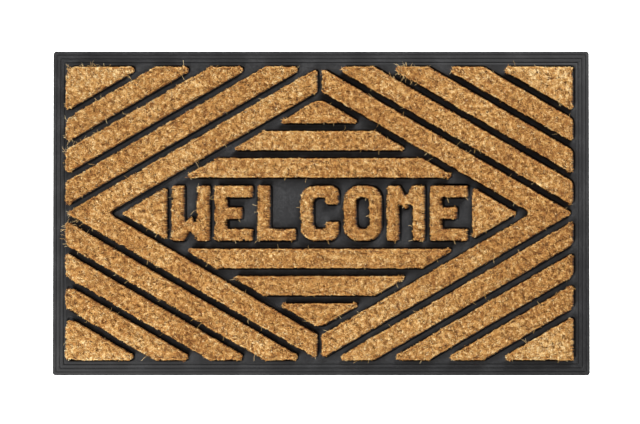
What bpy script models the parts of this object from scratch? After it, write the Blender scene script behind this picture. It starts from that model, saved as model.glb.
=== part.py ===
# Door mat: one moulded rubber tray with coir inlays bonded into its cells.
#
# Metres, +Z up. The origin is on the floor under the middle of the mat. +X runs along the
# lettering, +Y points away from someone who reads it, so that side is called the back.

import math

import bmesh
import bpy
from mathutils import Matrix, Vector

# Overall sizes
MAT_LENGTH = 0.750
MAT_WIDTH = 0.453
CORNER_RADIUS = 0.004

# Heights above the floor
CELL_FLOOR = 0.0020        # rubber left under each inlay
LAND_HEIGHT = 0.0055       # top of the ribs and of the panel round the letters
PILE_HEIGHT = 0.0140       # top of the coir
EDGE_HEIGHT = 0.0035       # top of the outermost border band

# Ribbed border
BORDER_WIDTH = 0.0208      # outer edge to the walls of the outermost cells
BORDER_BANDS = 3
BAND_PITCH = 0.0055        # one band and the groove inside it
BAND_GROOVE = 0.0010
BAND_GROOVE_DEPTH = 0.0008

# Fits
WALL_CLEARANCE = 0.0008    # inlay to the wall of its cell
BOND_GAP = 0.0003          # inlay to the floor of its cell, where the adhesive is

# Striped field and the diamond in it
STRIPE_WIDTH = 0.0288
STRIPE_GAP = 0.0094
CORNER_STRIPES = 3         # stripes between the diamond and each corner inlay
CHEVRON_TIP_GAP = 0.0002   # edge of the chevrons to the middle of the field's sides
CHEVRON_SPLIT = 0.0075     # between the two chevrons
DIAMOND_GAP = 0.0099       # chevrons to what they surround
ROW_GAP = 0.0104           # between the level rows inside the diamond
ROWS_PER_SIDE = 2
PEAK_SHARE = 1.25          # depth of the end triangle over that of a row

# Lettering
WORD = "WELCOME"
LETTER_HEIGHT = 0.0780
LETTER_GAP = 0.0068
LETTER_STROKE = 0.0175
LETTER_END_MARGIN = 0.0020   # first and last letters to the line that limits the diamond
LETTER_ARM_SETBACK = 0.0150  # middle arm of E, short of the other two
LETTER_MOUTH = 0.0234        # opening of C
LETTER_NOTCH = 0.0155        # top of M to the bottom of the notch between its stems
LETTER_VEE_ROOT = 0.0225     # top of M to where the vee leaves the stems
LETTER_VEE_TIP = 0.0360      # top of M to the lower tip of the vee

# Corner rounding, by the angle of the corner
SHARP_ANGLE = math.radians(45)   # narrower corners are sharp
MIDDLE_ANGLE = math.radians(95)  # wider corners are blunt
SHARP_RADIUS = 0.0050
MIDDLE_RADIUS = 0.0040
BLUNT_RADIUS = 0.0120
PEAK_RADIUS = 0.0180
DIAMOND_CORNER_RADIUS = 0.0030
LETTER_CORNER_RADIUS = 0.0030
LETTER_ROUND_RADIUS = 0.0200   # outside corners of the round letters
LETTER_BOWL_RADIUS = 0.0080    # inside corners of the round letters
ARC_STEP = math.radians(24)
ARC_EDGE_SHARE = 0.48            # most of an edge that the arc at one of its ends may take
LEAST_ARC = 1e-5
MERGE_DISTANCE = 1e-6

CUTTER_MARGIN = 0.0030

# Worked out from the sizes above
FIELD_X = MAT_LENGTH / 2 - BORDER_WIDTH - WALL_CLEARANCE
FIELD_Y = MAT_WIDTH / 2 - BORDER_WIDTH - WALL_CLEARANCE
ANGLE = math.atan2(FIELD_Y, FIELD_X)             # the diamond reaches the middle of all four sides
ACROSS = Vector((math.sin(ANGLE), math.cos(ANGLE)))  # across the stripes of the back right quarter
CHEVRON_OUTER = FIELD_X * ACROSS.x - CHEVRON_TIP_GAP
CHEVRON_INNER = CHEVRON_OUTER - STRIPE_WIDTH
DIAMOND_LIMIT = CHEVRON_INNER - DIAMOND_GAP
WORD_HALF = (DIAMOND_LIMIT - LETTER_HEIGHT / 2 * ACROSS.y) / ACROSS.x - LETTER_END_MARGIN
LETTER_WIDTH = (2 * WORD_HALF - (len(WORD) - 1) * LETTER_GAP) / len(WORD)
ROWS_SPACE = DIAMOND_LIMIT / ACROSS.y - LETTER_HEIGHT / 2 - (ROWS_PER_SIDE + 1) * ROW_GAP
ROW_DEPTH = ROWS_SPACE / (ROWS_PER_SIDE + PEAK_SHARE)


# ---- outlines: anticlockwise lists of points, then of corners (point, radius) ----

def rectangle(x_low, y_low, x_high, y_high):
    return [Vector(p) for p in ((x_low, y_low), (x_high, y_low), (x_high, y_high), (x_low, y_high))]


def keep_side(points, normal, limit):
    """The part of an outline where a point's distance along normal is at most limit."""
    kept = []
    for here, after in zip(points, points[1:] + points[:1]):
        depth_here = limit - here.dot(normal)
        depth_after = limit - after.dot(normal)
        if depth_here >= 0:
            kept.append(here)
        if depth_here * depth_after < 0:
            kept.append(here.lerp(after, depth_here / (depth_here - depth_after)))
    return kept


def mirrored(corners, side_x, side_y):
    flipped = [(Vector((point.x * side_x, point.y * side_y)), radius) for point, radius in corners]
    return flipped if side_x * side_y > 0 else flipped[::-1]


def corner_angle(before, corner, after):
    return (before - corner).angle(after - corner)


def by_angle(points, sharp=SHARP_RADIUS, middle=MIDDLE_RADIUS, blunt=BLUNT_RADIUS):
    """Give each corner the radius that suits its angle."""
    corners = []
    for index, point in enumerate(points):
        angle = corner_angle(points[index - 1], point, points[(index + 1) % len(points)])
        radius = sharp if angle < SHARP_ANGLE else middle if angle < MIDDLE_ANGLE else blunt
        corners.append((point, radius))
    return corners


def grown(corners, distance):
    """Move every edge of an outline outwards, and keep its arcs concentric."""
    moved = []
    for index, (point, radius) in enumerate(corners):
        along_in = (point - corners[index - 1][0]).normalized()
        along_out = (corners[(index + 1) % len(corners)][0] - point).normalized()
        out_in = Vector((along_in.y, -along_in.x))
        out_out = Vector((along_out.y, -along_out.x))
        shift = (out_in + out_out) * distance / (1 + out_in.dot(out_out))
        convex = along_in.cross(along_out) > 0
        moved.append((point + shift, max(radius + (distance if convex else -distance), 0)))
    return moved


def with_arcs(corners):
    """Points of an outline whose corners are rounded with arcs, limited by their edges."""
    points = []
    for index, (corner, radius) in enumerate(corners):
        before = corners[index - 1][0]
        after = corners[(index + 1) % len(corners)][0]
        along_in = (corner - before).normalized()
        along_out = (after - corner).normalized()
        turn = math.atan2(along_in.cross(along_out), along_in.dot(along_out))
        half_tangent = math.tan(abs(turn) / 2)
        shorter_edge = min((corner - before).length, (after - corner).length)
        reach = min(radius * half_tangent, ARC_EDGE_SHARE * shorter_edge)
        if reach < LEAST_ARC:
            points.append(corner)
            continue
        to_centre = Vector((-along_in.y, along_in.x)) * math.copysign(reach / half_tangent, turn)
        start = corner - along_in * reach
        steps = max(1, math.ceil(abs(turn) / ARC_STEP))
        for step in range(steps + 1):
            spoke = Matrix.Rotation(turn * step / steps, 2) @ -to_centre
            points.append(start + to_centre + spoke)
    return points


# ---- the coir pattern ----

def stripe(inner, outer):
    """The band of the back right quarter between two distances from the middle of the mat."""
    quarter = rectangle(0, 0, FIELD_X, FIELD_Y)
    return by_angle(keep_side(keep_side(quarter, -ACROSS, -inner), ACROSS, outer))


def chevron():
    """The right-hand half of the diamond's frame, an arrow that points to the mat's short side."""
    apart = CHEVRON_SPLIT / 2

    def on_line(x, distance):
        return Vector((x, (distance - x * ACROSS.x) / ACROSS.y))

    outer_tip = Vector((CHEVRON_OUTER / ACROSS.x, 0))
    inner_tip = Vector((CHEVRON_INNER / ACROSS.x, 0))
    outer_end = on_line(apart, CHEVRON_OUTER)
    inner_end = on_line(apart, CHEVRON_INNER)
    lower = [Vector((p.x, -p.y)) for p in (inner_end, outer_end)]
    return by_angle(lower + [outer_tip, outer_end, inner_end, inner_tip], blunt=SHARP_RADIUS)


def inside_diamond(points):
    for side_x in (1, -1):
        points = keep_side(points, Vector((side_x * ACROSS.x, ACROSS.y)), DIAMOND_LIMIT)
    return points


def row(number):
    """A level row behind the lettering; the one past the last row is the end triangle."""
    low = LETTER_HEIGHT / 2 + ROW_GAP + number * (ROW_DEPTH + ROW_GAP)
    is_peak = number == ROWS_PER_SIDE
    high = FIELD_Y if is_peak else low + ROW_DEPTH
    points = inside_diamond(rectangle(-FIELD_X, low, FIELD_X, high))
    return by_angle(points, sharp=DIAMOND_CORNER_RADIUS, blunt=PEAK_RADIUS if is_peak else MIDDLE_RADIUS)


def side_triangle():
    """The triangle between the lettering and the right-hand chevron."""
    flat_x = WORD_HALF + LETTER_GAP
    tip = Vector((DIAMOND_LIMIT / ACROSS.x, 0))
    back = Vector((flat_x, (DIAMOND_LIMIT - flat_x * ACROSS.x) / ACROSS.y))
    return by_angle([Vector((back.x, -back.y)), tip, back], middle=DIAMOND_CORNER_RADIUS)


# ---- block capitals, each built from strokes of one width about its own middle ----

def letter_l():
    x, y, s = LETTER_WIDTH / 2, LETTER_HEIGHT / 2, LETTER_STROKE
    return [[(-x, -y), (x, -y), (x, -y + s), (-x + s, -y + s), (-x + s, y), (-x, y)]]


def letter_e():
    x, y, s = LETTER_WIDTH / 2, LETTER_HEIGHT / 2, LETTER_STROKE
    arm = x - LETTER_ARM_SETBACK
    return [[(-x, -y), (x, -y), (x, -y + s), (-x + s, -y + s), (-x + s, -s / 2), (arm, -s / 2),
             (arm, s / 2), (-x + s, s / 2), (-x + s, y - s), (x, y - s), (x, y), (-x, y)]]


def letter_m():
    x, y, s = LETTER_WIDTH / 2, LETTER_HEIGHT / 2, LETTER_STROKE
    root, tip, notch = y - LETTER_VEE_ROOT, y - LETTER_VEE_TIP, y - LETTER_NOTCH
    return [[(-x, -y), (-x + s, -y), (-x + s, root), (0, tip), (x - s, root), (x - s, -y),
             (x, -y), (x, y), (x - s, y), (0, notch), (-x + s, y), (-x, y)]]


def letter_w():
    return [[(-px, -py) for px, py in letter_m()[0]]]


def letter_c():
    x, y, s = LETTER_WIDTH / 2, LETTER_HEIGHT / 2, LETTER_STROKE
    end = LETTER_MOUTH / 2
    return [[(-x, -y), (x, -y), (x, -end), (x - s, -end), (x - s, -y + s), (-x + s, -y + s),
             (-x + s, y - s), (x - s, y - s), (x - s, end), (x, end), (x, y), (-x, y)]]


def letter_o():
    x, y, s = LETTER_WIDTH / 2, LETTER_HEIGHT / 2, LETTER_STROKE
    return [[(-x, -y), (x, -y), (x, y), (-x, y)],
            [(-x + s, -y + s), (-x + s, y - s), (x - s, y - s), (x - s, -y + s)]]


LETTERS = {"W": letter_w, "E": letter_e, "L": letter_l, "C": letter_c, "O": letter_o, "M": letter_m}
ROUND_LETTERS = "CO"


def letter_radius(letter, x, y):
    """The round letters have large radii at their four outer and four bowl corners."""
    if letter in ROUND_LETTERS:
        half_x, half_y = LETTER_WIDTH / 2, LETTER_HEIGHT / 2
        if math.isclose(abs(x), half_x) and math.isclose(abs(y), half_y):
            return LETTER_ROUND_RADIUS
        if math.isclose(abs(y), half_y - LETTER_STROKE):
            return LETTER_BOWL_RADIUS
    return LETTER_CORNER_RADIUS


def letter_loops(letter, middle_x):
    loops = []
    for loop in LETTERS[letter]():
        loops.append([(Vector((x + middle_x, y)), letter_radius(letter, x, y)) for x, y in loop])
    return loops


def inlay_outlines():
    """Every inlay's name and loops of corners: its edge, and a hole where a letter has one."""
    outlines = {}
    stripe_pitch = STRIPE_WIDTH + STRIPE_GAP
    for side_y, depth_name in ((1, "back"), (-1, "front")):
        for side_x, side_name in ((-1, "left"), (1, "right")):
            quarter_name = f"{depth_name}_{side_name}"
            inner = CHEVRON_OUTER + STRIPE_GAP
            for number in range(CORNER_STRIPES):
                corners = stripe(inner, inner + STRIPE_WIDTH)
                outlines[f"stripe_inlay_{quarter_name}_{number + 1}"] = [mirrored(corners, side_x, side_y)]
                inner += stripe_pitch
            corners = stripe(inner, FIELD_X + FIELD_Y)
            outlines[f"corner_inlay_{quarter_name}"] = [mirrored(corners, side_x, side_y)]
        for number in range(ROWS_PER_SIDE):
            outlines[f"row_inlay_{depth_name}_{number + 1}"] = [mirrored(row(number), 1, side_y)]
        outlines[f"peak_inlay_{depth_name}"] = [mirrored(row(ROWS_PER_SIDE), 1, side_y)]
    for side_x, side_name in ((-1, "left"), (1, "right")):
        outlines[f"chevron_inlay_{side_name}"] = [mirrored(chevron(), side_x, 1)]
        outlines[f"side_inlay_{side_name}"] = [mirrored(side_triangle(), side_x, 1)]
    for index, letter in enumerate(WORD):
        middle_x = (index - (len(WORD) - 1) / 2) * (LETTER_WIDTH + LETTER_GAP)
        outlines[f"letter_inlay_{index + 1}_{letter.lower()}"] = letter_loops(letter, middle_x)
    return outlines


# ---- solids ----

def clear_scene():
    for thing in list(bpy.data.objects):
        bpy.data.objects.remove(thing, do_unlink=True)


def new_collection(name):
    collection = bpy.data.collections.new(name)
    bpy.context.scene.collection.children.link(collection)
    return collection


def new_material(name, colour, roughness):
    material = bpy.data.materials.new(name)
    material.use_nodes = True
    shader = material.node_tree.nodes["Principled BSDF"]
    shader.inputs["Base Color"].default_value = (*colour, 1)
    shader.inputs["Roughness"].default_value = roughness
    shader.inputs["Metallic"].default_value = 0
    return material


def flat_solid(name, loops, bottom, top, collection):
    """A slab between two heights with the outline of the first loop and the others as holes."""
    curve = bpy.data.curves.new(name, "CURVE")
    curve.dimensions = "2D"
    curve.fill_mode = "BOTH"
    curve.extrude = (top - bottom) / 2
    for loop in loops:
        spline = curve.splines.new("POLY")
        spline.points.add(len(loop) - 1)
        for point, place in zip(spline.points, loop):
            point.co = (place.x, place.y, 0, 1)
        spline.use_cyclic_u = True
    outline = bpy.data.objects.new(name + "_outline", curve)
    outline.location.z = (top + bottom) / 2
    collection.objects.link(outline)
    view = bpy.context.evaluated_depsgraph_get()
    mesh = bpy.data.meshes.new_from_object(outline.evaluated_get(view))
    shape = bmesh.new()
    shape.from_mesh(mesh)
    bmesh.ops.remove_doubles(shape, verts=shape.verts, dist=MERGE_DISTANCE)
    bmesh.ops.recalc_face_normals(shape, faces=shape.faces)
    shape.to_mesh(mesh)
    shape.free()
    mesh.name = name
    solid = bpy.data.objects.new(name, mesh)
    solid.matrix_world = outline.matrix_world
    collection.objects.link(solid)
    bpy.data.objects.remove(outline)
    return solid


def as_cutter(solid):
    solid.hide_render = True
    solid.display_type = "WIRE"
    return solid


def add_cut(target, **operand):
    boolean = target.modifiers.new("cut", "BOOLEAN")
    boolean.operation = "DIFFERENCE"
    boolean.solver = "EXACT"
    for key, value in operand.items():
        setattr(boolean, key, value)


def mat_outline(inset):
    """The mat's outline moved inwards; a negative inset moves it outwards."""
    x, y = MAT_LENGTH / 2 - inset, MAT_WIDTH / 2 - inset
    radius = max(CORNER_RADIUS - inset, 0)
    return with_arcs([(p, radius) for p in rectangle(-x, -y, x, y)])


def cut_border(tray, cutters):
    """Step the border up towards the field in bands, with a groove inside each band."""
    rise = (LAND_HEIGHT - EDGE_HEIGHT) / BORDER_BANDS
    ceiling = LAND_HEIGHT + CUTTER_MARGIN
    for band in range(BORDER_BANDS):
        inner = (band + 1) * BAND_PITCH
        top = EDGE_HEIGHT + band * rise
        step = [mat_outline(-CUTTER_MARGIN), mat_outline(inner)]
        groove = [mat_outline(inner - BAND_GROOVE), mat_outline(inner)]
        step_cutter = flat_solid(f"step_cutter_{band + 1}", step, top, ceiling, cutters)
        groove_bottom = top - BAND_GROOVE_DEPTH
        groove_cutter = flat_solid(f"groove_cutter_{band + 1}", groove, groove_bottom, ceiling, cutters)
        add_cut(tray, object=as_cutter(step_cutter))
        add_cut(tray, object=as_cutter(groove_cutter))


def make_tray(outlines, parts, cutters, cells, rubber):
    tray = flat_solid("rubber_tray", [mat_outline(0)], 0, LAND_HEIGHT, parts)
    tray.data.materials.append(rubber)
    cut_border(tray, cutters)
    ceiling = LAND_HEIGHT + CUTTER_MARGIN
    for name, loops in outlines.items():
        cell = [with_arcs(grown(loop, WALL_CLEARANCE)) for loop in loops]
        as_cutter(flat_solid(name.replace("inlay", "cell"), cell, CELL_FLOOR, ceiling, cells))
    add_cut(tray, operand_type="COLLECTION", collection=cells)


def make_inlays(outlines, parts, coir):
    for name, loops in outlines.items():
        inlay = flat_solid(name, [with_arcs(loop) for loop in loops], CELL_FLOOR + BOND_GAP, PILE_HEIGHT, parts)
        inlay.data.materials.append(coir)


clear_scene()
mat_parts = new_collection("door_mat")
mat_cutters = new_collection("cutters")
mat_cells = new_collection("cell_cutters")
black_rubber = new_material("moulded_rubber", (0.045, 0.045, 0.047), 0.75)
golden_coir = new_material("coir_fibre", (0.45, 0.24, 0.08), 0.95)
mat_outlines = inlay_outlines()
make_tray(mat_outlines, mat_parts, mat_cutters, mat_cells, black_rubber)
make_inlays(mat_outlines, mat_parts, golden_coir)
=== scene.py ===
import math

import bmesh
import bpy
import numpy as np
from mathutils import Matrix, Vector


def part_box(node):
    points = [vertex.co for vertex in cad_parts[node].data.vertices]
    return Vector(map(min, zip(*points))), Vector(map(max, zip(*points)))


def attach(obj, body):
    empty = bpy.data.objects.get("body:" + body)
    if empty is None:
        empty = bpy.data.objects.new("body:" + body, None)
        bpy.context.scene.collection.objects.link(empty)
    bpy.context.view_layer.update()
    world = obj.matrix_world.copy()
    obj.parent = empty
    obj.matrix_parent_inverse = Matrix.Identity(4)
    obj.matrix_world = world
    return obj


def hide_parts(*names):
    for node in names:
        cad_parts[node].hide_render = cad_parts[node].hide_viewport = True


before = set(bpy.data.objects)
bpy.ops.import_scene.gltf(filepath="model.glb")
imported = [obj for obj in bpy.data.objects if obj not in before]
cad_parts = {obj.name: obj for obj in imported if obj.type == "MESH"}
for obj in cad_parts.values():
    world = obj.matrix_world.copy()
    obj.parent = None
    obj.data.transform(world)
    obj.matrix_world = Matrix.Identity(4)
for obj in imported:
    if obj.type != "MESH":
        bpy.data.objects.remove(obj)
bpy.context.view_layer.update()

# Door mat: cut coir bristles in a tray of black moulded rubber, seen from straight above.
# Metres, +Z up, in the frame of the CAD model.

trayNode = "rubber_tray"
inlayNodes = sorted(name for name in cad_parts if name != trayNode)
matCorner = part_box(trayNode)[1]            # half the length, half the width, top of the ribs
landHeight = matCorner.z
padBottom, pileHeight = (corner.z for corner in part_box(inlayNodes[0]))    # nominal top of the coir


def linearColour(hexText):
    # sRGB to linear: c/12.92 near black, ((c + 0.055)/1.055)^2.4 above it
    parts = [int(hexText[i:i + 2], 16) / 255 for i in (1, 3, 5)]
    return tuple(c / 12.92 if c <= 0.04045 else ((c + 0.055) / 1.055) ** 2.4 for c in parts) + (1.0,)


def setInputs(tree, node, inputs):
    # inputs by socket name or number: a socket given as the value is linked, anything else is set
    for name, value in inputs.items():
        if isinstance(value, bpy.types.NodeSocket):
            tree.links.new(value, node.inputs[name])
        else:
            node.inputs[name].default_value = value


def addNode(tree, kind, settings=None, inputs=None, stops=()):
    # one node with its settings by attribute name, its inputs, and a ramp's stops as (place, hex colour)
    node = tree.nodes.new(kind)
    for name, value in (settings or {}).items():
        setattr(node, name, value)
    setInputs(tree, node, inputs or {})
    if stops:
        elements = node.color_ramp.elements
        while len(elements) < len(stops):
            elements.new(0.5)
        for element, (position, hexText) in zip(elements, stops):
            element.position = position
            element.color = linearColour(hexText)
    return node


def newMaterial(name):
    material = bpy.data.materials.new(name)
    material.use_nodes = True
    return material, material.node_tree, material.node_tree.nodes["Principled BSDF"]


def softNoise(x, y, size, seed):
    # smooth field from 0 to 1 with bumps about size across: random heights on a square lattice,
    # blended across each cell by 3t^2 - 2t^3
    side, shift = 256, 900                 # the lattice repeats after side cells, and starts shift cells away
    heights = np.random.default_rng(seed).random((side, side))
    placeX, placeY = x / size + shift, y / size + shift
    lowX, lowY = np.floor(placeX).astype(int), np.floor(placeY).astype(int)
    shareX, shareY = placeX - lowX, placeY - lowY
    shareX, shareY = shareX * shareX * (3 - 2 * shareX), shareY * shareY * (3 - 2 * shareY)
    lowX, lowY = lowX % side, lowY % side
    highX, highY = (lowX + 1) % side, (lowY + 1) % side
    near = heights[lowX, lowY] * (1 - shareX) + heights[highX, lowY] * shareX
    far = heights[lowX, highY] * (1 - shareX) + heights[highX, highY] * shareX
    return near * (1 - shareY) + far * shareY


def newPiece(name, places, faces, material, cornerMap=None):
    # places is (n, 3); faces is a list of (m, 3) or (m, 4) arrays of vertex numbers; cornerMap is (n, 2)
    corners = np.concatenate([f.ravel() for f in faces]).astype(np.int32)
    counts = np.concatenate([np.full(len(f), f.shape[1]) for f in faces]).astype(np.int32)
    mesh = bpy.data.meshes.new(name)
    mesh.vertices.add(len(places))
    mesh.vertices.foreach_set("co", places.astype(np.float32).ravel())
    mesh.loops.add(len(corners))
    mesh.loops.foreach_set("vertex_index", corners)
    mesh.polygons.add(len(counts))
    mesh.polygons.foreach_set("loop_start", (np.cumsum(counts) - counts).astype(np.int32))
    mesh.polygons.foreach_set("use_smooth", np.ones(len(counts), bool))
    if cornerMap is not None:
        layer = mesh.uv_layers.new(name="OFBake")
        layer.uv.foreach_set("vector", cornerMap[corners].astype(np.float32).ravel())
    mesh.update(calc_edges=True)
    mesh.materials.append(material)
    piece = bpy.data.objects.new(name, mesh)
    bpy.context.scene.collection.objects.link(piece)
    return piece


def outlineOf(node):
    # the straight stretches of a pad's outline as (n, 2, 2) start and end points, with the pad on
    # their left: every edge of an upright triangle that has both its ends at the pad's top
    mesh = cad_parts[node].data
    places = np.empty(len(mesh.vertices) * 3, np.float32)
    mesh.vertices.foreach_get("co", places)
    places = places.reshape(-1, 3).astype(float)
    corners = np.empty(len(mesh.loops), np.int32)
    mesh.loops.foreach_get("vertex_index", corners)
    triangles = corners.reshape(-1, 3)
    a, b, c = (places[triangles[:, i]] for i in range(3))
    normal = np.cross(b - a, c - a)
    steep, slack = 0.1, 1e-4               # share of an upright triangle's normal, and metres below the top
    upright = np.abs(normal[:, 2]) < steep * np.linalg.norm(normal, axis=1)
    edges = np.concatenate([triangles[upright][:, [i, (i + 1) % 3]] for i in range(3)])
    atTop = (places[edges][:, :, 2] > places[:, 2].max() - slack).all(1)
    return places[edges[atTop]][:, ::-1, :2]


def depthInside(points, outline):
    # distance from each plan point to the outline, positive inside, the unit vector that points
    # out across it, and the length of the stretch it's nearest to; inside is where a ray to the
    # right crosses the outline an odd number of times
    start, end = outline[:, 0], outline[:, 1]
    along = end - start
    lengthSquared = (along ** 2).sum(1)
    rise = np.where(along[:, 1] == 0, 1, along[:, 1])
    depth = np.empty(len(points))
    outward = np.empty((len(points), 2))
    stretch = np.empty(len(points))
    batch = 20000                          # points at a time, to keep the arrays small
    for first in range(0, len(points), batch):
        these = slice(first, first + batch)
        some = points[these, None]
        share = (((some - start) * along).sum(2) / lengthSquared).clip(0, 1)
        gap = some - (start + share[:, :, None] * along)
        distance = np.sqrt((gap ** 2).sum(2))
        nearest = distance.argmin(1)
        x, y = some[:, :, 0], some[:, :, 1]
        spans = (start[:, 1] > y) != (end[:, 1] > y)
        crossing = start[:, 0] + (y - start[:, 1]) * along[:, 0] / rise
        inside = (spans & (x < crossing)).sum(1) % 2 == 1
        depth[these] = distance[np.arange(len(nearest)), nearest] * np.where(inside, 1, -1)
        ahead = along[nearest] / np.sqrt(lengthSquared[nearest])[:, None]
        outward[these] = np.stack([ahead[:, 1], -ahead[:, 0]], 1)
        stretch[these] = np.sqrt(lengthSquared[nearest])
    return depth, outward, stretch


rubberLook = {"tones": [(0.3, "#08080a"), (0.5, "#121213"), (0.7, "#262627")],
              "cloudSize": 0.030, "speckSize": 0.0022, "speckShare": 1.2, "toneScale": 0.455,
              "roughness": (0.5, 0.78), "specular": 0.24,
              "pebbleSize": 0.0009, "pebbleDepth": 0.0002, "pebbleStrength": 0.45}


def makeRubber():
    # black natural-rubber compound, pressed in a mould: dull, faintly mottled slate black, paler
    # where dust and coir crumbs have rubbed in, with the fine pebble of the mould's blasted face;
    # the real pebble is about 0.2 mm across and is drawn coarser, at 0.9 mm, so that it shows
    material, tree, shader = newMaterial("Moulded black rubber")
    place = addNode(tree, "ShaderNodeTexCoord").outputs["Object"]
    clouds = addNode(tree, "ShaderNodeTexNoise", inputs={
        "Vector": place, "Scale": 1 / rubberLook["cloudSize"], "Detail": 4.0})
    specks = addNode(tree, "ShaderNodeTexNoise", inputs={
        "Vector": place, "Scale": 1 / rubberLook["speckSize"], "Detail": 3.0})
    mottle = addNode(tree, "ShaderNodeMath", {"operation": "MULTIPLY_ADD"}, {
        0: specks.outputs["Fac"], 1: rubberLook["speckShare"], 2: clouds.outputs["Fac"]})
    tone = addNode(tree, "ShaderNodeMath", {"operation": "MULTIPLY"}, {
        0: mottle.outputs[0], 1: rubberLook["toneScale"]})
    colour = addNode(tree, "ShaderNodeValToRGB", inputs={"Fac": tone.outputs[0]}, stops=rubberLook["tones"])
    shine = addNode(tree, "ShaderNodeMapRange", inputs={
        "Value": specks.outputs["Fac"], "From Min": 0.3, "From Max": 0.7,
        "To Min": rubberLook["roughness"][0], "To Max": rubberLook["roughness"][1]})
    pebble = addNode(tree, "ShaderNodeTexNoise", inputs={
        "Vector": place, "Scale": 1 / rubberLook["pebbleSize"], "Detail": 2.0})
    bump = addNode(tree, "ShaderNodeBump", inputs={
        "Height": pebble.outputs["Fac"], "Strength": rubberLook["pebbleStrength"],
        "Distance": rubberLook["pebbleDepth"]})
    setInputs(tree, shader, {
        "Base Color": colour.outputs["Color"], "Roughness": shine.outputs["Result"],
        "Normal": bump.outputs["Normal"], "IOR": 1.5, "Specular IOR Level": rubberLook["specular"]})
    return material


bristleLook = {"tones": [(0.0, "#5a330f"), (0.25, "#935f29"), (0.5, "#b08344"), (0.75, "#c8a263"),
                         (1.0, "#e8d8ad")],
               "rootToTip": [(0.0, "#785e40"), (0.55, "#ece1d0"), (1.0, "#ffffff")],
               "roughness": 0.72, "specular": 0.35}


def makeBristle():
    # coir, the husk fibre of the coconut, cut to bristles: from brown through gold to pale straw by the
    # bristle, with painted shade darkening it towards the root; U of the piece's own map is the tone and V
    # runs root to tip
    material, tree, shader = newMaterial("Cut coir bristle")
    spot = addNode(tree, "ShaderNodeUVMap", {"uv_map": "OFBake"}).outputs["UV"]
    parts = addNode(tree, "ShaderNodeSeparateXYZ", inputs={0: spot})
    tone = addNode(tree, "ShaderNodeValToRGB", inputs={"Fac": parts.outputs["X"]}, stops=bristleLook["tones"])
    # painted shade: the root end of every bristle is darkened, standing for the shade deep in the pile
    shade = addNode(tree, "ShaderNodeValToRGB", inputs={"Fac": parts.outputs["Y"]},
                    stops=bristleLook["rootToTip"])
    mixed = addNode(tree, "ShaderNodeMix", {"data_type": "RGBA", "blend_type": "MULTIPLY"}, {
        "Factor": 1.0, 6: tone.outputs["Color"], 7: shade.outputs["Color"]})    # 6 and 7 are the colours
    setInputs(tree, shader, {
        "Base Color": mixed.outputs[2], "Roughness": bristleLook["roughness"], "IOR": 1.45,
        "Specular IOR Level": bristleLook["specular"]})
    return material


mattedLook = {"tones": [(0.36, "#1f1105"), (0.5, "#5a3613"), (0.64, "#a0703a")],
              "tuftSize": 0.0035, "tuftShare": 0.35, "fibreSize": 0.0009, "fibreShare": 0.65,
              "drawnUpright": 0.14, "roughness": 0.95, "bumpDepth": 0.0015}


def makeMatted():
    # the dense coir under the bristles' tips, in dark tones that are painted shade deep in the pile, with
    # painted shade in the pits between tufts, where one field both darkens the colour and sinks the bump;
    # fine fibres show as specks from above and as upright streaks on the pads' sides; real fibres are 0.2 to
    # 0.4 mm thick and are drawn at 0.9 mm so that they show
    material, tree, shader = newMaterial("Matted coir")
    place = addNode(tree, "ShaderNodeTexCoord").outputs["Object"]
    drawn = addNode(tree, "ShaderNodeMapping", inputs={
        "Vector": place, "Scale": (1.0, 1.0, mattedLook["drawnUpright"])})
    tufts = addNode(tree, "ShaderNodeTexNoise", inputs={
        "Vector": place, "Scale": 1 / mattedLook["tuftSize"], "Detail": 3.0, "Roughness": 0.6})
    fibres = addNode(tree, "ShaderNodeTexNoise", inputs={
        "Vector": drawn.outputs["Vector"], "Scale": 1 / mattedLook["fibreSize"], "Detail": 2.0,
        "Roughness": 0.7})
    tuftPart = addNode(tree, "ShaderNodeMath", {"operation": "MULTIPLY"}, {
        0: tufts.outputs["Fac"], 1: mattedLook["tuftShare"]})
    both = addNode(tree, "ShaderNodeMath", {"operation": "MULTIPLY_ADD"}, {
        0: fibres.outputs["Fac"], 1: mattedLook["fibreShare"], 2: tuftPart.outputs[0]})
    # painted shade: the colour follows the bump's height, darkest in the pits, over tones that stand for the
    # pile's shaded depth
    colour = addNode(tree, "ShaderNodeValToRGB", inputs={"Fac": both.outputs[0]}, stops=mattedLook["tones"])
    bump = addNode(tree, "ShaderNodeBump", inputs={
        "Height": both.outputs[0], "Strength": 1.0, "Distance": mattedLook["bumpDepth"]})
    setInputs(tree, shader, {
        "Base Color": colour.outputs["Color"], "Roughness": mattedLook["roughness"],
        "Normal": bump.outputs["Normal"]})
    return material


rubber = makeRubber()
bristle = makeBristle()
matted = makeMatted()
print("materials made")

tray = {"ribRound": 0.0016, "edgeRound": 0.00025, "roundSteps": 4,
        "sharpAngle": 35, "flatAngle": 0.5,            # degrees
        "mergeGap": 1e-6, "slack": 1e-5,
        "rimWidth": 0.005}                             # no cell comes this near the mat's outer edge


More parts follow.
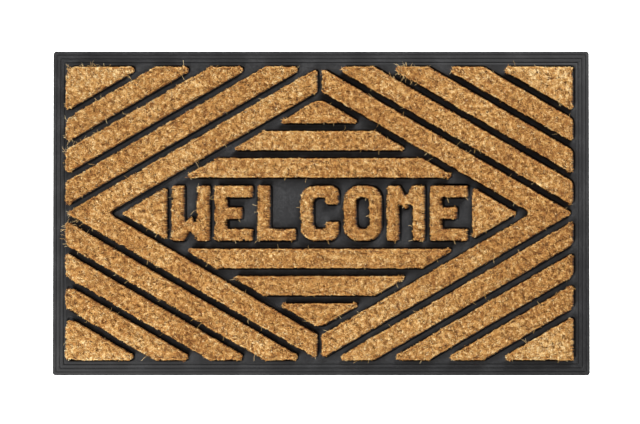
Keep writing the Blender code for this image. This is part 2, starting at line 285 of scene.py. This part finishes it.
def makeTray():
    # the CAD tray with its triangles merged, the ribs well rounded where they meet the cells and
    # every other mould edge just broken
    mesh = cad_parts[trayNode].data.copy()
    shape = bmesh.new()
    shape.from_mesh(mesh)
    bmesh.ops.remove_doubles(shape, verts=shape.verts, dist=tray["mergeGap"])
    bmesh.ops.dissolve_limit(shape, angle_limit=math.radians(tray["flatAngle"]), verts=shape.verts,
                             edges=shape.edges)
    weight = shape.edges.layers.float.new("bevel_weight_edge")
    reachX, reachY = matCorner.x - tray["rimWidth"], matCorner.y - tray["rimWidth"]
    for edge in shape.edges:
        sharp = len(edge.link_faces) == 2 and edge.calc_face_angle(0) > math.radians(tray["sharpAngle"])
        inCell = min(v.co.z for f in edge.link_faces for v in f.verts) < padBottom
        atTop = min(v.co.z for v in edge.verts) > landHeight - tray["slack"]
        inside = all(abs(v.co.x) < reachX and abs(v.co.y) < reachY for v in edge.verts)
        if sharp and inCell and inside:
            edge[weight] = 1.0 if atTop else 0.0
        elif sharp:
            edge[weight] = tray["edgeRound"] / tray["ribRound"]
        edge.smooth = not sharp or edge[weight] > 0
    for face in shape.faces:
        face.smooth = True
    shape.to_mesh(mesh)
    shape.free()
    mesh.materials.clear()
    mesh.materials.append(rubber)
    piece = bpy.data.objects.new("rubberTray", mesh)
    bpy.context.scene.collection.objects.link(piece)
    rounding = piece.modifiers.new("mould edges", "BEVEL")
    rounding.width = tray["ribRound"]
    rounding.segments = tray["roundSteps"]
    rounding.limit_method = "WEIGHT"
    rounding.use_clamp_overlap = False
    rounding.harden_normals = True
    return piece


trayPiece = makeTray()
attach(trayPiece, "root")
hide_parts(trayNode)
print("tray made")

seeds = {"crown": 11, "toneClouds": 21, "toneTufts": 22, "tuftX": 31, "tuftY": 32,
         "raggedCoarse": 41, "raggedFine": 42, "looseness": 51, "bristles": 500}
bed = {"spacing": 0.0023, "top": pileHeight - 0.0022, "edge": pileHeight - 0.0050,
       "relief": 0.0009, "tuft": 0.0038, "shoulder": 0.0024}
# crown and side below are painted light: crown pales the tips of high tufts and darkens the dips, side
# darkens the pads' side bristles as shade
coirTone = {"middle": 0.49, "chance": 0.19, "clouds": 0.18, "cloudSize": 0.045,
            "tufts": 0.56, "tuftSize": 0.0026, "crown": 0.25, "side": -0.12,
            "bleached": 0.17, "bleachFrom": 1.45, "bleachOver": 0.25}

# real coir is 0.2 to 0.4 mm thick; these bristles are 0.4 to 0.6 mm across a side so that they show
pile = {"perSquareMetre": 1.9e6, "radius": 0.00030, "radiusSpread": (0.7, 1.2),
        "reach": (0.0012, 0.0060),                     # how far a bristle lies over sideways
        "leastReach": 0.0004, "strayReach": 0.0004,    # what it keeps at the rim, how far it strays past
        "tuft": 0.0045, "tuftPull": 2.0,               # bristles of a tuft lie over the same way
        "chancePull": 0.45,
        "rimPull": 1.1, "rimWidth": 0.004,             # near the rim they turn outward
        "cut": (-0.0013, 0.0006),                      # unevenness of the cut tips
        "rimDrop": 0.0012, "rimRound": 0.003,          # how far and how wide the rim is rounded down
        "rooted": 0.0008,                              # how deep a root sits in the bed
        "lean": (-0.0040, -0.0003),                    # sideways shift of the whole pile at its top
        "inset": 0.0019, "letterInset": 1.5, "arcStretch": 0.006,
        "ragged": 0.0024, "raggedSize": 0.0065, "finer": 2.6, "fineShare": 0.6,
        "worn": 0.0048, "wornSize": 0.0075,
        "wornSpots": ((-0.353, 0.205), (-0.353, 0.133), (-0.353, -0.105), (-0.353, -0.136),
                      (-0.353, -0.149), (-0.353, -0.206))}
rim = {"perMetre": 1700, "radius": 0.00030, "radiusSpread": (0.7, 1.2), "thickness": 0.0009,
       "spread": 0.0012, "bulge": (-0.0008, 0.0012), "drawnIn": 0.0010, "bow": 0.0004,
       "root": (landHeight - 0.002, pileHeight - 0.005), "tip": (pileHeight - 0.0035, pileHeight - 0.0008),
       "stations": (0, 0.4, 1)}
strays = {"perMetre": 30, "radius": 0.00018, "radiusSpread": (0.8, 1.3), "taper": 0.6,
          "reachLow": 0.003, "reachHigh": 0.010, "shortOnes": 2.2,    # a higher power makes more short ones
          "swing": 0.8, "curl": 0.16, "bow": 0.0008, "rootInside": 0.002, "root": pileHeight - 0.001,
          "tip": (landHeight + 0.001, pileHeight + 0.001), "tones": (0.75, 1),
          "stations": (0, 0.05, 0.3, 0.55, 0.8, 1), "longestStretch": 0.01,
          "cloudSize": 0.03, "cloudPull": 1.3, "spotPull": 12, "spotSize": 0.022,
          "looseSpots": ((-0.315, 0.205), (-0.352, 0.095), (-0.352, -0.02), (0.115, 0.205))}


def nearestSpot(points, spots):
    # distance from each plan point to the nearest of the spots
    return np.min([np.hypot(points[:, 0] - x, points[:, 1] - y) for x, y in spots], axis=0)


def wearAt(points):
    # how far the pile has worn back round the corners of the pads along the mat's left side:
    # a bell curve of the distance to the nearest worn spot
    return pile["worn"] * np.exp(-(nearestSpot(points, pile["wornSpots"]) / pile["wornSize"]) ** 2)


def ragged(points):
    # how far the rim of the pile wanders out of its outline, or into it where it's negative
    size = pile["raggedSize"]
    coarse = softNoise(points[:, 0], points[:, 1], size, seeds["raggedCoarse"]) - 0.5
    fine = softNoise(points[:, 0], points[:, 1], size / pile["finer"], seeds["raggedFine"]) - 0.5
    return pile["ragged"] * (coarse + pile["fineShare"] * fine) - wearAt(points)


def insetAt(node, stretch):
    # how far the pile draws back from its outline: fully along straight sides, and little at the
    # ends of stripes, where the outline is an arc of stretches a millimetre or so long
    if node.startswith("letter"):
        return np.full(len(stretch), pile["letterInset"] * pile["inset"])
    return pile["inset"] * np.clip(stretch / pile["arcStretch"], 0, 1)


def crownAt(points):
    # tuft-sized rise and fall of the pile's top, from -0.5 to 0.5
    return softNoise(points[:, 0], points[:, 1], bed["tuft"], seeds["crown"]) - 0.5


def bedHeight(points, depth):
    # flat top with a quarter-circle shoulder at the edge, plus tuft-sized relief
    inward = np.clip((depth - pile["inset"] + 0.5 * np.minimum(ragged(points), 0)) / bed["shoulder"], 0, 1)
    rise = np.sqrt(1 - (1 - inward) ** 2)
    return bed["edge"] + (bed["top"] - bed["edge"] + 2 * bed["relief"] * crownAt(points)) * rise


def leaned(places):
    # the pile leans as it comes out of its cell: a sideways shift that grows evenly from the ribs' top
    share = np.clip((places[:, 2] - landHeight) / (pileHeight - landHeight), 0, 1.2)[:, None]
    shifted = places.copy()
    shifted[:, :2] += share * np.array(pile["lean"])
    return shifted


def makePadBed(node, name, outline):
    # a square grid over the pad, its rim pulled onto the outline, raised by bedHeight, and closed
    # below by the same grid laid flat; its walls lean from there up to the rim
    low, high = (np.array(corner[:2]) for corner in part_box(node))
    step = bed["spacing"]
    xs, ys = (np.arange(low[i] - step, high[i] + 2 * step, step) for i in (0, 1))
    grid = np.stack(np.meshgrid(xs, ys, indexing="ij"), 2).reshape(-1, 2)
    depth, outward, stretch = depthInside(grid, outline)
    depth -= insetAt(node, stretch) + wearAt(grid)
    used = (depth > -0.5 * step).reshape(len(xs), len(ys))
    number = np.arange(grid.shape[0]).reshape(len(xs), len(ys))
    whole = used[:-1, :-1] & used[1:, :-1] & used[1:, 1:] & used[:-1, 1:]
    cells = np.stack([number[:-1, :-1][whole], number[1:, :-1][whole], number[1:, 1:][whole],
                      number[:-1, 1:][whole]], 1)
    kept, cells = np.unique(cells, return_inverse=True)
    cells = cells.reshape(-1, 4)
    points, depth, outward = grid[kept], depth[kept], outward[kept]
    edges = np.concatenate([cells[:, [i, (i + 1) % 4]] for i in range(4)])
    codes = edges[:, 0] * len(kept) + edges[:, 1]
    twins = edges[:, 1] * len(kept) + edges[:, 0]
    border = edges[~np.isin(codes, twins)]             # an inner edge is met both ways, a border edge once
    atRim = np.zeros(len(kept), bool)
    atRim[border.ravel()] = True
    points = points + outward * np.where(atRim, depth.clip(-step, step), 0)[:, None]
    depth = np.where(atRim, 0, depth.clip(0, None))
    top = leaned(np.column_stack([points, bedHeight(points, depth + pile["inset"])]))
    bottom = np.column_stack([points, np.full(len(points), padBottom)])
    count = len(points)
    walls = np.column_stack([border[:, 1], border[:, 0], border[:, 0] + count, border[:, 1] + count])
    return newPiece(name, np.concatenate([top, bottom]), [cells, cells[:, ::-1] + count, walls], matted)


def bristleArrays(root, tip, arch, radius, tone, stations, taper=1.0):
    # three-sided hairs: each starts as a point at its root, has a ring of three points at every other
    # station, and is cut flat at its tip; its middle line bows by arch*4t(1-t), where t is the
    # station, a share of its length
    count, rings = len(root), len(stations) - 1
    t = np.array(stations, float)[None, :, None]
    path = root[:, None] + (tip - root)[:, None] * t + arch[:, None] * 4 * t * (1 - t)
    ahead = tip - root
    ahead /= np.linalg.norm(ahead, axis=1, keepdims=True)
    side = np.cross(ahead, [0.3, 0.2, 0.93])           # across the hair and a direction near upright
    side /= np.linalg.norm(side, axis=1, keepdims=True)
    other = np.cross(ahead, side)
    turns = np.arange(3) * math.tau / 3
    spokes = side[:, None] * np.cos(turns)[None, :, None] + other[:, None] * np.sin(turns)[None, :, None]
    widths = radius[:, None] * np.linspace(1.0, taper, rings)[None]
    ringPlaces = path[:, 1:, None] + spokes[:, None] * widths[:, :, None, None]
    places = np.concatenate([path[:, :1], ringPlaces.reshape(count, -1, 3)], 1)
    each = 1 + 3 * rings                               # vertices of one hair
    quads = [[1 + 3 * r + j, 1 + 3 * r + (j + 1) % 3, 4 + 3 * r + (j + 1) % 3, 4 + 3 * r + j]
             for r in range(rings - 1) for j in range(3)]
    triangles = [[0, 1 + (j + 1) % 3, 1 + j] for j in range(3)] + [[each - 3, each - 2, each - 1]]
    offsets = (np.arange(count) * each)[:, None, None]
    along = np.broadcast_to(np.repeat(stations, [1] + [3] * rings), (count, each))
    across = np.concatenate([[1], np.tile(np.arange(3), rings)]) * 0.008    # keeps the map from closing up
    tones = 0.02 + 0.94 * tone.clip(0, 1)[:, None] + across[None]
    maps = np.stack([tones, 0.01 + 0.98 * along], 2)   # inside 0 to 1 with a small margin
    return (places.reshape(-1, 3), (np.array(triangles) + offsets).reshape(-1, 3),
            (np.array(quads, int).reshape(-1, 4) + offsets).reshape(-1, 4), maps.reshape(-1, 2))


def toneAt(points, random):
    # lightness of the coir from 0 to 1: wide clouds, tufts and a share of chance for each bristle,
    # paler towards the mat's corners, where no foot scrubs the pile
    x, y = points[:, 0], points[:, 1]
    wide = softNoise(x, y, coirTone["cloudSize"], seeds["toneClouds"]) - 0.5
    tufts = softNoise(x + 0.3 * y, y - 0.3 * x, coirTone["tuftSize"], seeds["toneTufts"]) - 0.5
    towardsCorner = np.abs(x) / matCorner.x + np.abs(y) / matCorner.y
    bleached = np.clip((towardsCorner - coirTone["bleachFrom"]) / coirTone["bleachOver"], 0, 1)
    chance = random.normal(0, coirTone["chance"], len(points))
    return (coirTone["middle"] + coirTone["clouds"] * wide + coirTone["tufts"] * tufts + chance
            + coirTone["bleached"] * bleached)


def scatterInside(node, outline, random):
    # even random points over the pad's area, thrown over its box and kept where they fall inside
    low, high = (np.array(corner[:2]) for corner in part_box(node))
    wanted = int(pile["perSquareMetre"] * np.prod(high - low))
    points = low + random.random((wanted, 2)) * (high - low)
    depth, outward, stretch = depthInside(points, outline)
    inside = depth > pile["radius"]
    return points[inside], depth[inside], outward[inside], stretch[inside]


def makePileTop(node, outline, random):
    # the bristles seen from above: rooted in the bed, their tips spread and tangled by tuft, and
    # stopped where they would reach past the pile's rim
    points, depth, outward, stretch = scatterInside(node, outline, random)
    count = len(points)
    tuftX = softNoise(points[:, 0], points[:, 1], pile["tuft"], seeds["tuftX"]) - 0.5
    tuftY = softNoise(points[:, 0], points[:, 1], pile["tuft"], seeds["tuftY"]) - 0.5
    lean = np.stack([tuftX, tuftY], 1) * pile["tuftPull"] + random.normal(0, pile["chancePull"], (count, 2))
    nearRim = np.clip(1 - depth / pile["rimWidth"], 0, 1)[:, None]
    lean = lean / np.linalg.norm(lean, axis=1, keepdims=True) + outward * nearRim * pile["rimPull"]
    lean /= np.linalg.norm(lean, axis=1, keepdims=True)
    reach = random.uniform(*pile["reach"], count)
    outOf = (lean * outward).sum(1)
    room = depth + ragged(points) - insetAt(node, stretch) + random.exponential(pile["strayReach"], count)
    slight = 0.05                                      # a bristle that leans out less than this isn't stopped
    stopped = np.clip(room / np.maximum(outOf, slight), pile["leastReach"], reach)
    reach = np.where(outOf > slight, stopped, reach)
    tips = points + lean * reach[:, None]
    tipDepth = depth - reach * outOf
    crown = crownAt(tips)
    shoulder = np.clip(1 - tipDepth / pile["rimRound"], 0, 1.4) ** 2
    tipHeight = (pileHeight + 2 * bed["relief"] * crown - pile["rimDrop"] * shoulder
                 + random.uniform(*pile["cut"], count))
    root = leaned(np.column_stack([points, bedHeight(points, depth) - pile["rooted"]]))
    tip = leaned(np.column_stack([tips, tipHeight]))
    radius = pile["radius"] * random.uniform(*pile["radiusSpread"], count)
    # painted light and shade: tips on high tufts are painted paler and those in the dips darker
    tone = toneAt(tips, random) + coirTone["crown"] * crown
    keep = room > -0.0002                              # those rooted past the rim are left out
    straight = np.zeros((keep.sum(), 3))
    return bristleArrays(root[keep], tip[keep], straight, radius[keep], tone[keep], (0, 1))


def alongOutline(outline, perMetre, random, weightAt=None):
    # random places on the outline, with the unit vectors along it and out of it there, and the
    # length of the stretch each is on
    lengths = np.linalg.norm(outline[:, 1] - outline[:, 0], axis=1)
    weights = lengths if weightAt is None else lengths * weightAt(outline.mean(1))
    count = max(3, int(perMetre * weights.sum()))
    chosen = random.choice(len(outline), count, p=weights / weights.sum())
    places = outline[chosen, 0] + (outline[chosen, 1] - outline[chosen, 0]) * random.random((count, 1))
    ahead = (outline[chosen, 1] - outline[chosen, 0]) / lengths[chosen, None]
    return places, ahead, np.stack([ahead[:, 1], -ahead[:, 0]], 1), lengths[chosen]


def makeRim(node, outline, random):
    # the pad's side: bristles that stand in the cell against its wall and rise past the rib
    places, ahead, out, stretch = alongOutline(outline, rim["perMetre"], random)
    count = len(places)
    places = places - out * (random.uniform(0, rim["thickness"], (count, 1)) + wearAt(places)[:, None])
    spread = random.uniform(-rim["spread"], rim["spread"], (count, 1)) * ahead
    bulge = np.clip(0.2 * pile["ragged"] + ragged(places) * 0.6, *rim["bulge"])[:, None]
    root = leaned(np.column_stack([places, random.uniform(*rim["root"], count)]))
    drawnIn = random.uniform(0, rim["drawnIn"], (count, 1))
    tips = places + spread + out * (bulge - insetAt(node, stretch)[:, None] - drawnIn)
    tip = leaned(np.column_stack([tips, random.uniform(*rim["tip"], count)]))
    arch = rim["bow"] * np.column_stack([out, np.zeros(count)])
    radius = rim["radius"] * random.uniform(*rim["radiusSpread"], count)
    # painted shade: the side bristles are made darker than the top, as the pads' shaded walls
    tone = toneAt(tips, random) + coirTone["side"]
    return bristleArrays(root, tip, arch, radius, tone, rim["stations"])


def looseness(places):
    # more stray hairs in some stretches of the rim than in others, and most at the loose spots
    clouds = softNoise(places[:, 0], places[:, 1], strays["cloudSize"], seeds["looseness"])
    nearest = nearestSpot(places, strays["looseSpots"])
    nearSpot = np.exp(-(nearest / strays["spotSize"]) ** 2)
    return strays["cloudPull"] * clouds ** 2 + strays["spotPull"] * nearSpot


def cutShort(outline):
    # the same outline with its long stretches cut into equal pieces
    pieces = []
    for start, end in outline:
        count = max(1, int(np.hypot(*(end - start)) / strays["longestStretch"]))
        stops = np.linspace(start, end, count + 1)
        pieces.append(np.stack([stops[:-1], stops[1:]], 1))
    return np.concatenate(pieces)


def makeStrays(outline, random):
    # long hairs that have worked loose at the rim and droop over the rubber beside it
    places, ahead, out = alongOutline(cutShort(outline), strays["perMetre"], random, looseness)[:3]
    count = len(places)
    swing = random.normal(0, strays["swing"], (count, 1))
    heading = out * np.cos(swing) + ahead * np.sin(swing)
    share = random.random((count, 1)) ** strays["shortOnes"]
    reach = strays["reachLow"] + (strays["reachHigh"] - strays["reachLow"]) * share
    root = leaned(np.column_stack([places - out * strays["rootInside"], np.full(count, strays["root"])]))
    tips = places + heading * reach + np.array(pile["lean"])
    tip = np.column_stack([tips, random.uniform(*strays["tip"], count)])
    curl = random.normal(0, strays["curl"], (count, 1)) * reach * ahead
    arch = np.column_stack([curl, np.full(count, strays["bow"])])
    radius = strays["radius"] * random.uniform(*strays["radiusSpread"], count)
    tone = random.uniform(*strays["tones"], count)
    return bristleArrays(root, tip, arch, radius, tone, strays["stations"], strays["taper"])


def makePile(node, name, outline, random):
    # three sets of hairs as one mesh: vertex numbers move up by the vertices before them
    sets = [makePileTop(node, outline, random), makeRim(node, outline, random), makeStrays(outline, random)]
    shift = np.cumsum([0] + [len(s[0]) for s in sets[:-1]])
    places = np.concatenate([s[0] for s in sets])
    triangles = np.concatenate([s[1] + start for s, start in zip(sets, shift)])
    quads = np.concatenate([s[2] + start for s, start in zip(sets, shift)])
    return newPiece(name, places, [triangles, quads], bristle, np.concatenate([s[3] for s in sets]))


def camelName(node, ending):
    words = node.split("_")
    return words[0] + "".join(word.capitalize() for word in words[1:]) + ending


for index, node in enumerate(inlayNodes):
    outline = outlineOf(node)
    random = np.random.default_rng(seeds["bristles"] + index)
    pieces = [makePadBed(node, camelName(node, "Bed"), outline),
              makePile(node, camelName(node, "Pile"), outline, random)]
    for piece in pieces:
        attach(piece, "root")
        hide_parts(node)
print("coir made")

view = {"distance": 2.4, "lens": 96.4, "sensor": 36, "tilt": 1.1, "aim": (-0.0017, 0.0017)}
studio = {"floor": 24.0, "floorLines": 5, "floorGap": 0.0002, "floorColour": "#f7f7f6", "floorGlow": 0.45,
          "skyLight": 0.36, "lightSize": 1.0,
          "keyLight": {"place": (0.85, 1.95, 1.27), "watts": 172},
          "fillLight": {"place": (-1.28, -1.56, 1.17), "watts": 147}}


def makeFloor():
    # a wide level sheet: x and y are the two parameters and the height is constant; it glows a
    # little, as a lit white table does, so that the mat's shade on it stays white
    half, lines = studio["floor"] / 2, studio["floorLines"]
    xs = np.linspace(-half, half, lines)
    grid = np.stack(np.meshgrid(xs, xs, indexing="ij"), 2).reshape(-1, 2)
    places = np.column_stack([grid, np.full(len(grid), -studio["floorGap"])])
    number = np.arange(lines * lines).reshape(lines, lines)
    cells = np.stack([number[:-1, :-1].ravel(), number[1:, :-1].ravel(), number[1:, 1:].ravel(),
                      number[:-1, 1:].ravel()], 1)
    material, tree, shader = newMaterial("White studio floor")
    setInputs(tree, shader, {
        "Base Color": linearColour(studio["floorColour"]), "Roughness": 0.9,
        "Emission Color": (1, 1, 1, 1), "Emission Strength": studio["floorGlow"]})
    floor = newPiece("studioFloor", places, [cells], material)


def aimAt(thing, place, target):
    thing.location = place
    thing.rotation_euler = (Vector(target) - Vector(place)).to_track_quat("-Z", "Y").to_euler()


def addAreaLight(name):
    lamp = bpy.data.lights.new(name, "AREA")
    lamp.shape = "SQUARE"
    lamp.size = studio["lightSize"]
    lamp.energy = studio[name]["watts"]
    holder = bpy.data.objects.new(name, lamp)
    bpy.context.scene.collection.objects.link(holder)
    aimAt(holder, studio[name]["place"], (0, 0, 0))


def makeStudio():
    makeFloor()
    addAreaLight("keyLight")
    addAreaLight("fillLight")
    world = bpy.data.worlds.new("studioWorld")
    world.use_nodes = True
    sky = world.node_tree.nodes["Background"]
    setInputs(world.node_tree, sky, {"Color": (1, 1, 1, 1), "Strength": studio["skyLight"]})
    bpy.context.scene.world = world
    bpy.context.scene.view_settings.view_transform = "Standard"


def makeCamera():
    lens = bpy.data.cameras.new("camera")
    lens.lens = view["lens"]
    lens.sensor_width = view["sensor"]
    lens.clip_start = 0.01
    holder = bpy.data.objects.new("camera", lens)
    bpy.context.scene.collection.objects.link(holder)
    tilt = math.radians(view["tilt"])
    x, y = view["aim"]
    aimAt(holder, (x, y - view["distance"] * math.sin(tilt), view["distance"] * math.cos(tilt)), (x, y, 0))
    bpy.context.scene.camera = holder


makeStudio()
makeCamera()
print("studio made")
